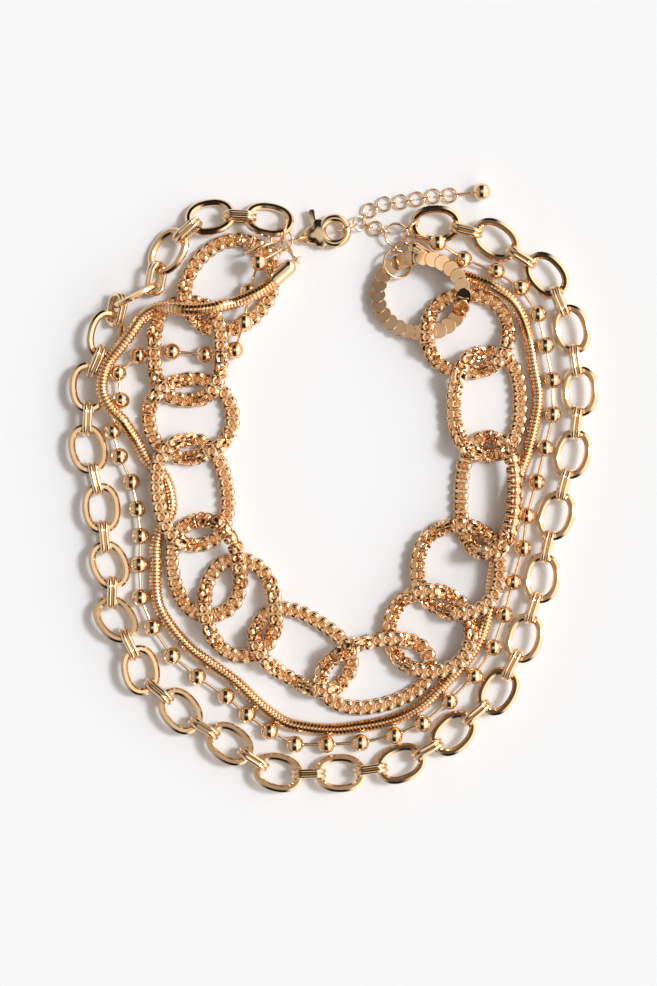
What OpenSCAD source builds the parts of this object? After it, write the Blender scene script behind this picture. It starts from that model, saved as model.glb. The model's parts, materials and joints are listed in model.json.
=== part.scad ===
// Multi strand necklace, laid out flat on a table: four strands of different chain on one
// lobster clasp with an extender. X runs to the right, Y towards the clasp, Z up. The origin is
// the middle of the floor that the necklace lies on. All lengths are in millimetres.

/* [Ring strand] */
// Width of the thick chain that each flexible ring is made of
ring_w = 5.6; // [4.8:0.1:5.8]
// Thickness of that chain
ring_t = 4.2; // [3.4:0.1:4.3]

/* [Oval link strand] */
// Length of one big oval link, outside
link_l = 16.8; // [16.4:0.1:17.2]
// Width of one big oval link, outside
link_w = 12.8; // [12:0.1:13.2]
// Width of the link's band, seen from above
link_band_w = 1.6; // [1.3:0.1:1.7]
// Height of the link's band
link_band_t = 2; // [1.8:0.1:2.1]
// Length of a twin ring connector, outside
twin_l = 11.8; // [11.6:0.1:12.2]
// Height of a twin ring connector, standing on edge
twin_h = 7.4; // [7.3:0.1:7.6]
// Thickness of the connector's wire
twin_wire = 1.6; // [1.3:0.1:1.7]
// Distance between the middles of the connector's two wires
twin_pitch = 1.55; // [1.2:0.05:1.6]

/* [Ball strand] */
// Diameter of a hollow ball
ball_d = 5.8; // [5.4:0.1:5.9]
// Wall of a ball
ball_wall = 0.25; // [0.2:0.05:0.3]
// Diameter of the bar between two balls
bar_d = 1; // [0.8:0.1:1.1]
// Length of a bar, over its two heads
bar_l = 8; // [7.9:0.05:8.1]
// Diameter of the head that keeps a bar's end in its ball
head_d = 1.5; // [1.5:0.05:1.6]
// Thickness of that head
head_t = 0.5; // [0.4:0.05:0.55]

/* [Snake strand] */
// Diameter of the snake chain
snake_d = 4.3; // [3.6:0.1:4.4]
// Diameter of the end caps
cap_d = 5.2; // [5:0.1:5.4]
// Length of an end cap
cap_l = 9; // [7:0.5:10]

/* [Extender and jump rings] */
// Diameter of a round extender link, outside
ext_d = 5.3; // [5.2:0.1:5.4]
// Wire of a round extender link
ext_wire = 0.7; // [0.6:0.05:0.75]
// Length of a small standing link between two round ones
joint_l = 3.7; // [3.6:0.1:4]
// Height of a small standing link
joint_h = 2.5; // [2.5:0.1:3]
// Wire of a small standing link
joint_wire = 0.6; // [0.5:0.05:0.65]
// Diameter of the ball at the extender's end
end_ball_d = 5.8; // [5:0.1:6.2]
// Wire of the jump rings
jump_wire = 0.9; // [0.7:0.05:0.95]

/* [Clasp] */
// Length of the lobster clasp's body without its eye
clasp_l = 16.4; // [16:0.1:17]
// Width of the body across its round end
clasp_w = 11.4; // [11.2:0.1:11.6]
// Diameter of the opening in the body
clasp_hole_d = 7.1; // [6.9:0.1:7.2]
// Thickness of the body
clasp_t = 3.2; // [3:0.1:3.6]
// Thickness of the lever
lever_t = 1.3; // [1.1:0.1:1.3]

/* [Hidden] */

// Clearance between pieces that lie on or pass through each other
gap = 0.15;
// Running clearance on the radius of a pin or a bar
run = 0.1;

// How far an end cap reaches past the chain's end, and the depth of its socket
cap_nose = 6;
cap_socket = cap_l - cap_nose;

// Length of the oval links that the tables of places were drawn for
drawn_link_l = 16.8;
link_pull = (drawn_link_l - link_l) / 2;

// How far a chain climbs to lie over a ring, the snake chain, or both
over_ring = ring_t + gap;
over_snake = snake_d + gap;
over_both = over_ring + over_snake;
over_bar = (ball_d + bar_d) / 2 + gap;
cap_lift = (cap_d - snake_d) / 2 + 0.1;
over_cap = (cap_d + snake_d) / 2 + cap_lift + gap;
over_wire = jump_wire + 2.5 * gap;

// Sections along one ring, sides of its tube, and sides of the snake chain's tube
RING_CUTS = 28;
RING_SIDES = 12;
SNAKE_SIDES = 12;

gold = "#e6bb8c";
pale_gold = "#efd3a8";
rose_gold = "#dca46f";

// The route of each flexible ring:
// [x, y, half along, half across, turn, squareness, [[angle, climb, half spread], ...]]
RINGS = [
    [-33.5, 67.2, 16.1, 13.3, 48, 2.1, [[0, over_wire, 14], [153, over_ring, 14]]],
    [-47.4, 45.2, 11.2, 16.3, 0, 2.8, [[24, over_ring, 22], [184, over_bar, 8], [317, over_ring, 16]]],
    [-46.5, 22.7, 14.0, 13.1, 15, 2.1, [[120, over_ring, 12], [285, over_ring, 12]]],
    [-45.8, -2.0, 11.5, 17.6, 8, 2.3, [[172, over_snake, 68]]],
    [-41.3, -27.2, 11.2, 16.0, 10, 2.3, [[26, over_ring, 32]]],
    [-29.8, -40.5, 11.7, 16.2, 8, 2.2, [[183, over_ring, 12], [352, over_ring, 12]]],
    [-8.9, -54.4, 17.2, 10.5, -32, 2.4, [[225, over_ring, 18], [314, over_ring, 12]]],
    [15.4, -62.3, 18.5, 10.8, 14, 2.2, [[90, over_ring, 34]]],
    [33.7, -48.2, 13.4, 13.5, 0, 2.1, [[300, over_snake, 53], [98, over_ring, 16]]],
    [43.1, -27.6, 13.5, 14.7, 0, 2.2, [[330, over_snake, 66], [86, over_ring, 12]]],
    [52.5, -2.8, 8.7, 19.2, -2, 2.4, [[288, over_both, 22], [6, over_snake, 60]]],
    [52.65, 27.6, 10.9, 17.1, 0, 2.5, [[241, over_ring, 12], [138, over_ring, 16]]],
    [45.9, 51.08, 13.6, 13.0, 0, 2.2, [[325, over_ring, 17], [181, over_ring, 12]]],
    [30.2, 63.5, 14.2, 12.3, -8, 2.1, [[54, over_cap, 50]]]
];

// The route of the ball strand, one ball a row: [x, y, climb]
BALLS = [
    [-23.6, 74.4, 5.8], [-27, 65, 0], [-28.3, 54.6, over_ring], [-31.5, 45.5, 0], [-41.5, 44, 0],
    [-52.5, 45, 0], [-63.7, 43.6, 0], [-70.5, 37.9, 0], [-69.5, 28.7, 0], [-72.3, 18.5, 0],
    [-70, 10, 0], [-66, 1.5, 0], [-64, -7.5, 0], [-63, -16.5, 0], [-63.4, -26, 0],
    [-63, -37, 0], [-59, -47, 0], [-52.5, -56.5, 0], [-44, -63.5, 0], [-34.5, -70, 0],
    [-27.5, -76, 0], [-20, -81.5, 0], [-11.5, -86, 0], [-1, -86, 0], [10.4, -85.4, 0],
    [21.7, -83, 0], [31, -79, 0], [40, -71.5, 0], [48.2, -63.1, 0], [54.6, -53.7, 0],
    [58.2, -42.6, 0], [61.2, -31.8, 0], [64.5, -20.5, 0], [65.7, -9.8, 0], [69, 1.5, 0],
    [71.8, 12.8, 0], [74.5, 24, 0], [74.3, 35.5, 0], [72, 47, 0], [69.5, 57.5, 0],
    [63.7, 66.2, 0], [55.6, 71.7, 0], [44.7, 75.8, 0], [36, 81, over_snake]
];

// The route of the snake strand: [x, y, climb]
SNAKE = [
    [-16.2, 70.5, 4.9], [-20.8, 66.4, 5.1], [-25.5, 63.5, ball_d], [-31.5, 61, 6.2], [-36, 60, 7.8],
    [-40, 59, 8.4], [-46, 58.5, 2 * over_ring + 0.3], [-51, 59, 7.9], [-56.5, 59.5, over_ring], [-62, 56.5, 3.6],
    [-66, 51, 3.9], [-70.2, 45.5, 3.9], [-73.7, 41, 3.9], [-75.4, 36, 3.9], [-75.4, 31, 3.9],
    [-72.9, 26, 3.9], [-68.5, 21.5, 3.5], [-65, 16, 0.5],
    [-62, 10.5, 0], [-59, 6.5, 0], [-55, 3, 0], [-53, -3, 0], [-53, -8.5, 0], [-56.5, -14.5, 0],
    [-58, -20, 0], [-58, -26, 0], [-58, -34.5, 0], [-56.5, -41, 0], [-52, -48, 0], [-46.5, -54, 0],
    [-40, -59, 0], [-31.5, -65, 0], [-23, -73, 0], [-15, -78.5, 0], [-6.5, -80.5, 0], [2, -81, 0],
    [10, -80.1, 0], [18.5, -78.6, 0], [26, -75.9, 0], [32.4, -71.7, 0], [38.3, -65.9, 0],
    [44.6, -59.2, 0], [50.2, -51.2, 0], [53.3, -41.1, 0], [54.3, -31, 0], [56, -21, 0], [59.5, -13, 0],
    [61.5, -3, 0], [64, 5.5, 0], [66.3, 12, 0], [68, 19, 0], [69.3, 25.5, 0], [69.5, 32, 0],
    [68, 40.5, 0], [66.5, 49, 0], [64, 56.5, 2.4], [60.3, 62.2, 3.6], [53.8, 66.5, 3.6], [47, 69.3, 1.5],
    [41, 71.6, 0.3], [36.5, 74.4, cap_lift], [31.4, 77.5, cap_lift]
];

// The big oval links, from the clasp's side round to the extender's: [x, y, heading, lean]
LINKS = [
    [-20.2, 88.9, 170, -27], [-39.8, 89.8, 190, -20], [-53.7, 78.4, 238, -25], [-64.3, 63.5, 207, 95],
    [-74.6, 50.66, 256, 24], [-80.3, 33, 272, 12], [-80.5, 12.5, 284, 10], [-76, -7.2, 275, 10],
    [-73.35, -26.2, 294, 12], [-71.2, -44.2, 309, 12], [-63, -61.2, 281, 12], [-49.7, -74.8, 310, 12],
    [-33.3, -85.7, 325, 12], [-17.2, -95.3, 345, 12], [3.5, -95.5, 0, 12], [23.7, -92.3, 22, 14],
    [41.2, -82.2, 44, 14], [56.2, -68.2, 60, 15], [64.8, -50.5, 73, 20], [70.65, -30.5, 82, 20],
    [75.35, -9.7, 72, 20], [80.9, 10.8, 75, 20], [83.4, 31.7, 90, 22], [80.5, 52.3, 105, 20],
    [72.3, 70.5, 132, 16], [55.2, 82.2, 145, 14], [35.35, 87.4, 180, 16]
];

// The round extender links out from the clasp to the free end, and the one towards the right hub
EXT_OUT = [[10.1, 87.8], [13.5, 92.1], [18.5, 94.3], [23.9, 95], [29.3, 95.9], [34.8, 96.9], [40.3, 97.2]];
EXT_IN = [15.5, 86.1];
END_BALL = [50.8, 98.3];

// The rings that the strands hang on at each end: the middle of each, its diameter and its lean
LEFT_HUB = [-15.9, 82.2, 3.2];
left_hub_d = 8;
RIGHT_HUB = [22.3, 83.8, 3.3];
right_hub_d = 8.5;
right_hub_lean = 10;
RIGHT_STRAND = [22.5, 74.2, 2.8];
right_strand_d = 10.5;
right_strand_turn = 27.6;
right_strand_lean = 27;

// The rings that stand upright on the floor, one a row: [x, y, heading, diameter, wire]
tie_wire = 0.7;
grip_wire = 0.75;
grip_turn = 19.7;
clasp_turn = 10.7;
LEFT_STRAND = [-22.5, 79.42, 20, 12.3, jump_wire];
LEFT_LINK = [-14.9 - link_pull, 84.7, 80, 9, jump_wire];
LEFT_TIE = [-12.2, 77.47, 122, 8.4, tie_wire];
CLASP_RING = [-10.5, 82.44, clasp_turn, 6.8, tie_wire];
CLASP_GRIP = [6.1, 86.3, grip_turn, 7, grip_wire];
HUB_JOINT = [18.05, 85.2, -20, 5.2, joint_wire];
RIGHT_TIE = [22.1, 79.5, 90, 4.5, tie_wire];
RIGHT_LINK = [26.9 + link_pull, 86.7, 32, 7.6, jump_wire];

// The loop that holds the end ball, and how far its far end reaches into the ball's middle
end_loop_l = 7.9;
end_loop_h = 2.9;
end_loop_in = 2.2;

function unit(v) = v / norm(v);
function clamp01(x) = min(1, max(0, x));
function smooth(x) = clamp01(x) * clamp01(x) * (3 - 2 * clamp01(x));
function signed_power(x, e) = sign(x) * pow(abs(x), e);
function yaw_of(v) = atan2(v[1], v[0]);
function flat_turn(p, a) = [p[0] * cos(a) - p[1] * sin(a), p[0] * sin(a) + p[1] * cos(a)];

// The columns of a row of RINGS
RING_X = 0;
RING_Y = 1;
RING_ALONG = 2;
RING_ACROSS = 3;
RING_TURN = 4;
RING_SQUARE = 5;
RING_CLIMBS = 6;

// Height that a ring has climbed to at an angle: full within the half spread, then a ramp down
ramp = 24;
function away(a, b) = abs((a - b + 540) % 360 - 180);
function climb_at(list, a) =
    max(0, max([for (c = list) c[1] * smooth((c[2] + ramp - away(a, c[0])) / ramp)]));

function ring_point(r, a) =
    let (e = 2 / r[RING_SQUARE],
         along = r[RING_ALONG] * signed_power(cos(a), e),
         across = r[RING_ACROSS] * signed_power(sin(a), e),
         p = flat_turn([along, across], r[RING_TURN]))
    [r[RING_X] + p[0], r[RING_Y] + p[1], ring_t / 2 + climb_at(r[RING_CLIMBS], a)];

// The middle of the laid-out necklace in the coordinates of the tables, moved to the origin
layout_middle = [1.08, -0.51];
module centred() {
    translate([-layout_middle[0], -layout_middle[1], 0]) children();
}

// A tube along a route, round or oval, closed in a loop or with flat ends
module tube(path, w, t, sides, loop) {
    n = len(path);
    function at(i) = path[(i + n) % n];
    function ahead(i) = loop ? at(i + 1) - at(i - 1) : path[min(i + 1, n - 1)] - path[max(i - 1, 0)];
    points = [for (i = [0:n - 1])
        let (dir = unit(ahead(i)), side = unit(cross([0, 0, 1], dir)), up = cross(dir, side))
        for (k = [0:sides - 1])
            path[i] + side * (w / 2 * cos(k * 360 / sides)) + up * (t / 2 * sin(k * 360 / sides))];
    walls = [for (i = [0:n - (loop ? 1 : 2)]) for (k = [0:sides - 1])
        let (j = (i + 1) % n, m = (k + 1) % sides, a = i * sides, b = j * sides)
        each [[a + k, b + m, a + m], [a + k, b + k, b + m]]];
    ends = loop ? [] : [[for (k = [0:sides - 1]) k], [for (k = [sides - 1:-1:0]) (n - 1) * sides + k]];
    polyhedron(points, concat(walls, ends), convexity = 8);
}

module chain_ring(i) color(rose_gold) centred() {
    tube([for (k = [0:RING_CUTS - 1]) ring_point(RINGS[i], k * 360 / RING_CUTS)], ring_w, ring_t, RING_SIDES, true);
}

// A long loop of round wire lying flat, its length along X
module wire_loop(length, width, wire) {
    r = (width - wire) / 2;
    straight = (length - width) / 2;
    for (a = [0, 180])
        rotate([0, 0, a]) {
            translate([straight, 0, 0])
                rotate([0, 0, -90])
                    rotate_extrude(angle = 180, $fn = 48) translate([r, 0]) circle(d = wire, $fn = 24);
            translate([-straight, r, 0])
                rotate([0, 90, 0]) cylinder(d = wire, h = 2 * straight, $fn = 24);
        }
}

module wire_ring(d, wire) {
    rotate_extrude($fn = 64) translate([(d - wire) / 2, 0]) circle(d = wire, $fn = 24);
}

// The band of a big oval link, cut across: a rectangle with its corners bevelled
module link_section() {
    c = 0.4;
    w = link_band_w / 2;
    t = link_band_t / 2;
    polygon([[w, c - t], [w, t - c], [w - c, t], [c - w, t], [-w, t - c], [-w, c - t], [c - w, -t], [w - c, -t]]);
}

module oval_link() {
    r = (link_w - link_band_w) / 2;
    straight = (link_l - link_w) / 2;
    for (a = [0, 180])
        rotate([0, 0, a]) {
            translate([straight, 0, 0])
                rotate([0, 0, -90])
                    rotate_extrude(angle = 180, $fn = 64) translate([r, 0]) link_section();
            translate([-straight, r, 0])
                rotate([90, 0, 90]) linear_extrude(2 * straight) link_section();
        }
}

// Two standing wire loops soldered side by side, their length along X
module twin_ring() {
    for (s = [-1, 1])
        translate([0, s * twin_pitch / 2, 0]) rotate([90, 0, 0]) wire_loop(twin_l, twin_h, twin_wire);
}

// Places a child with X along a direction, then leaned about that direction
module aim(place, dir, lean) {
    translate(place)
        rotate([0, 0, yaw_of(dir)])
            rotate([0, -atan2(dir[2], norm([dir[0], dir[1]])), 0])
                rotate([lean, 0, 0]) children();
}

// Heading, roll, middle and round ends of each big link
link_count = len(LINKS);
link_rest_z = twin_h / 2;
link_arc = (link_w - link_band_w) / 2;
function link_dir(i) = [cos(LINKS[i][2]), sin(LINKS[i][2]), 0];
function link_roll(i) = -LINKS[i][3];
function link_z(i) = max(link_rest_z, link_w / 2 * sin(abs(LINKS[i][3])) + link_band_t / 2 * abs(cos(LINKS[i][3])));
function link_mid(i) = [LINKS[i][0], LINKS[i][1], link_z(i)];
function arc_mid(i, s) = link_mid(i) + s * link_dir(i) * (link_l - link_w) / 2;

// The link that stands on edge, and the rolls of the connectors before and after it
edge_link = 3;
edge_rolls = [44, -44.4];

// The middle of a link's band where a connector that runs along u takes hold of its round end, or
// on a link that stands almost on edge, where that end is as high as the lying links
function grip(i, s, u) =
    let (d = link_dir(i),
         side = [-d[1] * cos(link_roll(i)), d[0] * cos(link_roll(i)), sin(link_roll(i))],
         a = i == edge_link ? asin((link_rest_z - link_z(i)) / (s * link_arc * side[2])) : atan2(u * side, u * d))
    arc_mid(i, s) + s * link_arc * (cos(a) * d + sin(a) * side);

// Height of a connector's middle when it is rolled and pitched and stands just over the floor
rest_gap = 0.035;
function twin_rest(roll, pitch) =
    rest_gap + twin_wire / 2 + (twin_h - twin_wire) / 2 * cos(roll) + twin_pitch / 2 * abs(sin(roll))
    + (twin_l - twin_h) / 2 * abs(sin(pitch));

function twin_roll(i) =
    i == edge_link - 1 ? edge_rolls[0] : i == edge_link ? edge_rolls[1] : (link_roll(i) + link_roll(i + 1)) / 4;

module oval_links() color(gold) centred() {
    for (i = [0:link_count - 1]) aim(link_mid(i), link_dir(i), link_roll(i)) oval_link();
}

module twin_rings() color(pale_gold) centred() {
    for (i = [0:link_count - 2]) {
        u = unit(arc_mid(i + 1, -1) - arc_mid(i, 1));
        a = grip(i, 1, u);
        b = grip(i + 1, -1, u);
        roll = twin_roll(i);
        mid = (a + b) / 2;
        rest = twin_rest(roll, asin((b - a)[2] / norm(b - a)));
        aim([mid[0], mid[1], max(mid[2], rest)], b - a, roll) twin_ring();
    }
}

// The ball strand: hollow balls, and headed bars that reach from inside one ball to the next
ball_count = len(BALLS);
function ball_mid(i) = [BALLS[i][0], BALLS[i][1], ball_d / 2 + BALLS[i][2]];
// The eyes that tie the strand's two ends to the hub rings
eye_d = 3.4;
eye_wire = 0.8;
left_eye = [-16.3, 78.7, 3.2];
right_eye = [26.05, 83.3, 3.2];
eye_rise = (eye_d - eye_wire) / 2;
function eye_top(eye) = eye + [0, 0, eye_rise];
function ball_or_eye(i) = i < 0 ? eye_top(left_eye) : i >= ball_count ? eye_top(right_eye) : ball_mid(i);

module ball_hole(from, to) {
    aim(from, to - from, 0) rotate([0, 90, 0]) cylinder(d = bar_d + 2 * gap, h = ball_d, $fn = 24);
}

// A ball turned so that its holes are to the left and right of its own X
module turned_ball(i, d) {
    along = ball_or_eye(i + 1) - ball_or_eye(i - 1);
    translate(ball_mid(i)) rotate([0, 0, yaw_of(along) + 90]) sphere(d = d, $fn = 48);
}

module ball_beads() color(gold) centred() {
    for (i = [0:ball_count - 1]) {
        difference() {
            turned_ball(i, ball_d);
            turned_ball(i, ball_d - 2 * ball_wall);
            ball_hole(ball_mid(i), ball_or_eye(i - 1));
            ball_hole(ball_mid(i), ball_or_eye(i + 1));
        }
    }
}

module bar(a, b, length) {
    aim((a + b) / 2, b - a, 0)
        rotate([0, 90, 0]) {
            cylinder(d = bar_d, h = length, center = true, $fn = 24);
            for (s = [-1, 1])
                translate([0, 0, s * (length - head_t) / 2])
                    cylinder(d = head_d, h = head_t, center = true, $fn = 24);
        }
}

// A bar with a head in the last ball, and an eye under its other end that hangs on the hub ring
module eye_bar(ball, eye, heading) {
    reach = norm(eye_top(eye) - ball);
    inner = ball_d / 2 - ball_wall - head_t - 2 * gap;
    aim(ball, eye_top(eye) - ball, 0) {
        translate([inner, 0, 0]) rotate([0, 90, 0]) cylinder(d = bar_d, h = reach - inner, $fn = 24);
        translate([inner, 0, 0]) rotate([0, 90, 0]) cylinder(d = head_d, h = head_t, $fn = 24);
    }
    translate(eye) rotate([0, 0, heading]) rotate([90, 0, 0]) wire_ring(eye_d, eye_wire);
}

module ball_bars() color(pale_gold) centred() {
    for (i = [0:ball_count - 2]) bar(ball_mid(i), ball_mid(i + 1), bar_l);
    eye_bar(ball_mid(0), left_eye, yaw_of(LEFT_HUB - left_eye));
    eye_bar(ball_mid(ball_count - 1), right_eye, yaw_of(RIGHT_HUB - right_eye));
}

// The snake strand and its end caps
function snake_point(i) = [SNAKE[i][0], SNAKE[i][1], snake_d / 2 + SNAKE[i][2]];
snake_count = len(SNAKE);

module snake_chain() color(gold) centred() {
    tube([for (i = [0:snake_count - 1]) snake_point(i)], snake_d, snake_d, SNAKE_SIDES, false);
}

// A cap with its socket at X = 0 and a rounded nose with an eye sunk into its far end
eye_sink = 0.5;
module end_cap() {
    nose = cap_d / 2;
    rotate([0, 90, 0])
        rotate_extrude($fn = 48)
            difference() {
                union() {
                    square([cap_d / 2, cap_l - nose]);
                    intersection() {
                        translate([0, cap_l - nose]) circle(r = nose, $fn = 48);
                        square([cap_d, cap_l]);
                    }
                }
                square([snake_d / 2 + gap, cap_socket]);
            }
    translate([cap_l + eye_d / 2 - eye_sink, 0, 0]) rotate([90, 0, 0]) wire_ring(eye_d, eye_wire);
}

module snake_end_caps() color(pale_gold) centred() {
    a = snake_point(0);
    b = snake_point(snake_count - 1);
    da = unit(a - snake_point(1));
    db = unit(b - snake_point(snake_count - 2));
    aim(a - da * (cap_socket - gap), da, 0) end_cap();
    aim(b - db * (cap_socket - gap), db, 0) end_cap();
}

// The extender: round links lying flat, joined by small links that stand on edge
ext_z = joint_h / 2;

module joint_link(a, b) {
    aim([(a[0] + b[0]) / 2, (a[1] + b[1]) / 2, joint_h / 2], [b[0] - a[0], b[1] - a[1], 0], 0)
        rotate([90, 0, 0]) wire_loop(joint_l, joint_h, joint_wire);
}

// A round ring standing on the floor, from its row: [x, y, heading, diameter, wire]
module standing_ring(row) {
    translate([row[0], row[1], row[3] / 2]) rotate([0, 0, row[2]]) rotate([90, 0, 0]) wire_ring(row[3], row[4]);
}

// The first round link leans on the clasp's grip ring
ext_first_z = 2.1;
ext_first_lean = 24;

module extender_links() color(gold) centred() {
    translate([EXT_OUT[0][0], EXT_OUT[0][1], ext_first_z])
        rotate([0, 0, grip_turn]) rotate([0, ext_first_lean, 0]) wire_ring(ext_d, ext_wire);
    for (i = [1:len(EXT_OUT) - 1]) translate([EXT_OUT[i][0], EXT_OUT[i][1], ext_z]) wire_ring(ext_d, ext_wire);
    translate([EXT_IN[0], EXT_IN[1], ext_z]) wire_ring(ext_d, ext_wire);
    for (i = [0:len(EXT_OUT) - 2]) joint_link(EXT_OUT[i], EXT_OUT[i + 1]);
    joint_link(EXT_OUT[0], EXT_IN);
    standing_ring(HUB_JOINT);
    standing_ring(CLASP_GRIP);
}

// The end ball with the standing loop that holds it to the last round link
module extender_ball() color(gold) centred() {
    last = EXT_OUT[len(EXT_OUT) - 1];
    dir = unit([END_BALL[0] - last[0], END_BALL[1] - last[1], 0]);
    reach = norm([END_BALL[0] - last[0], END_BALL[1] - last[1]]);
    translate([END_BALL[0], END_BALL[1], end_ball_d / 2]) sphere(d = end_ball_d, $fn = 48);
    aim([last[0], last[1], end_loop_h / 2] + dir * (reach - end_loop_l / 2 - end_loop_in), dir, 0)
        rotate([90, 0, 0]) wire_loop(end_loop_l, end_loop_h, ext_wire);
}

module left_hub_ring() color(gold) centred() {
    translate(LEFT_HUB) wire_ring(left_hub_d, jump_wire);
}

module left_strand_ring() color(gold) centred() {
    standing_ring(LEFT_STRAND);
}

module left_link_ring() color(gold) centred() {
    standing_ring(LEFT_LINK);
}

module left_tie_ring() color(gold) centred() {
    standing_ring(LEFT_TIE);
}

module clasp_ring() color(gold) centred() {
    standing_ring(CLASP_RING);
}

module right_hub_ring() color(gold) centred() {
    translate(RIGHT_HUB) rotate([right_hub_lean, 0, 0]) wire_ring(right_hub_d, jump_wire);
}

// The ring that leans over ring 14 of the ring strand
module right_strand_ring() color(gold) centred() {
    translate(RIGHT_STRAND)
        rotate([0, 0, right_strand_turn]) rotate([0, right_strand_lean, 0]) wire_ring(right_strand_d, jump_wire);
}

module right_tie_ring() color(gold) centred() {
    standing_ring(RIGHT_TIE);
}

module right_link_ring() color(gold) centred() {
    standing_ring(RIGHT_LINK);
}

// The lobster clasp. Its own frame has X from the eye towards the round end and Z up
CLASP_TIP = [-10.2, 82.5];
clasp_z = 1.15;
PIVOT = [5.9, 0.3];
pin_d = 0.9;
pin_inset = 0.2;
boss_r = 1.5;
slot_r = boss_r + 0.4;
slot_t = lever_t + 0.3;

// Middle of the round end and of the opening inside it
ROUND_END = [clasp_l - 4.2, 0.5];
OPENING = [12, 0.6];
// How far the slot and the mouth run past the outline
past = 7;

// The eye at the narrow end, thinner than the body
lug_z = 0.15;
lug_t = 0.65;
LUG_HOLE = [2.1, 0];
lug_hole_r = 1.2;

// The lever's thumb tab
tab_w = 1.8;
tab_reach = 7.8;
tab_end_r = 1.1;

module clasp_place() {
    centred() translate([CLASP_TIP[0], CLASP_TIP[1], clasp_z]) rotate([0, 0, clasp_turn]) children();
}

// The body seen from above
module clasp_outline() {
    top = ROUND_END + [0, clasp_w / 2];
    bottom = ROUND_END - [0, clasp_w / 2];
    polygon([[3.3, -3.3], [3.3, 4.7], [5, 5.4], [8.3, 6.2], top, bottom, [8, -4.5]]);
    translate(ROUND_END) circle(d = clasp_w, $fn = 96);
}

// The opening inside the hook, and the mouth that the lever closes
module clasp_opening() {
    translate(OPENING) circle(d = clasp_hole_d, $fn = 96);
    polygon([[8.4, 0], [8.4, -past], [11.8, -past], [12, 0]]);
}

// The slot in the middle of the thickness that the lever turns in
module clasp_slot() {
    near = PIVOT - [slot_r, 0];
    far = PIVOT + [slot_r, 0];
    translate(PIVOT) circle(r = slot_r, $fn = 48);
    polygon([near, far, [8, past + 2], [1.5, past + 2]]);
    polygon([near, [5, -3], [8, -past], [13.6, -past], [13.6, 1], far]);
}

module clasp_body() color(gold) clasp_place() {
    difference() {
        linear_extrude(clasp_t) clasp_outline();
        translate([0, 0, -1]) linear_extrude(clasp_t + 2) clasp_opening();
        translate([0, 0, (clasp_t - slot_t) / 2]) linear_extrude(slot_t) clasp_slot();
    }
    translate([PIVOT[0], PIVOT[1], pin_inset]) cylinder(d = pin_d, h = clasp_t - 2 * pin_inset, $fn = 32);
    translate([0, 0, lug_z])
        linear_extrude(lug_t)
            difference() {
                polygon([[0.2, -1], [0.2, 1], [0.8, 2.1], [2.2, 3.7], [3.6, 4.8], [3.6, -3.3], [1, -2.5]]);
                translate(LUG_HOLE) circle(r = lug_hole_r, $fn = 48);
            }
}

// The lever: a boss on the pin, an arm across the mouth and a tab for the thumb
module clasp_lever() color(pale_gold) clasp_place() {
    translate([0, 0, (clasp_t - lever_t) / 2])
        linear_extrude(lever_t)
            difference() {
                union() {
                    translate(PIVOT) circle(r = boss_r, $fn = 48);
                    polygon([[4.6, -0.5], [5.6, -2.8], [8, -4.4], [11.6, -5.2], [11.7, -3.6], [8.6, -2.6]]);
                    polygon([[4.6, -0.5], [8.6, -2.6], [7.3, 0.6]]);
                    translate(PIVOT - [tab_w / 2, 0]) square([tab_w, tab_reach - PIVOT[1]]);
                    translate([PIVOT[0], tab_reach]) circle(r = tab_end_r, $fn = 48);
                }
                translate(PIVOT) circle(d = pin_d + 2 * run, $fn = 32);
            }
}

chain_ring(0);  // chain_ring_01
chain_ring(1);  // chain_ring_02
chain_ring(2);  // chain_ring_03
chain_ring(3);  // chain_ring_04
chain_ring(4);  // chain_ring_05
chain_ring(5);  // chain_ring_06
chain_ring(6);  // chain_ring_07
chain_ring(7);  // chain_ring_08
chain_ring(8);  // chain_ring_09
chain_ring(9);  // chain_ring_10
chain_ring(10);  // chain_ring_11
chain_ring(11);  // chain_ring_12
chain_ring(12);  // chain_ring_13
chain_ring(13);  // chain_ring_14
oval_links();
twin_rings();
ball_beads();
ball_bars();
snake_chain();
snake_end_caps();
extender_links();
extender_ball();
left_hub_ring();
left_strand_ring();
left_link_ring();
left_tie_ring();
clasp_ring();
right_hub_ring();
right_strand_ring();
right_tie_ring();
right_link_ring();
clasp_body();
clasp_lever();
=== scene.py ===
"""The multi strand necklace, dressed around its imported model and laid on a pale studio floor."""

import json
import logging
import math
from collections.abc import Callable, Sequence
from dataclasses import dataclass
from enum import Enum

import bpy
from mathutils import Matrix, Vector

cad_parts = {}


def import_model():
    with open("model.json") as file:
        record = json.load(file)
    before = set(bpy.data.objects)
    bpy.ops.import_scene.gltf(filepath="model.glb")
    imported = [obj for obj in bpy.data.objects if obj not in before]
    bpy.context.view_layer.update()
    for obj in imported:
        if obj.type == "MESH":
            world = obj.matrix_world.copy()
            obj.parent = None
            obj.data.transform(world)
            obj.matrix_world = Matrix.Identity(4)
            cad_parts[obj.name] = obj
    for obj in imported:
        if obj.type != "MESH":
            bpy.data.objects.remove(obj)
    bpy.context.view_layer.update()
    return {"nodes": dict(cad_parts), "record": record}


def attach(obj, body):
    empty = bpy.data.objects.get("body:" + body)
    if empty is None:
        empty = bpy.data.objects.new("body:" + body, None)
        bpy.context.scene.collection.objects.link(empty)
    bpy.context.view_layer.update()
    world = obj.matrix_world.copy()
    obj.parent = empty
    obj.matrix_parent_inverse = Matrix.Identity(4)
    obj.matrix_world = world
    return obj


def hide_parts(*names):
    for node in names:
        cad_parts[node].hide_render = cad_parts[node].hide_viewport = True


LOG = logging.getLogger("necklace")
MM = 0.001

# A face looks along an axis where that part of its normal is over this
FACES_AXIS = 0.9
# Points closer together than this are one point
WELD = 0.01 * MM

# The middle of the laid-out necklace in the coordinates of the tables below, which are millimetres
LAYOUT_MIDDLE = Vector((1.08, -0.51, 0.0))


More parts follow.
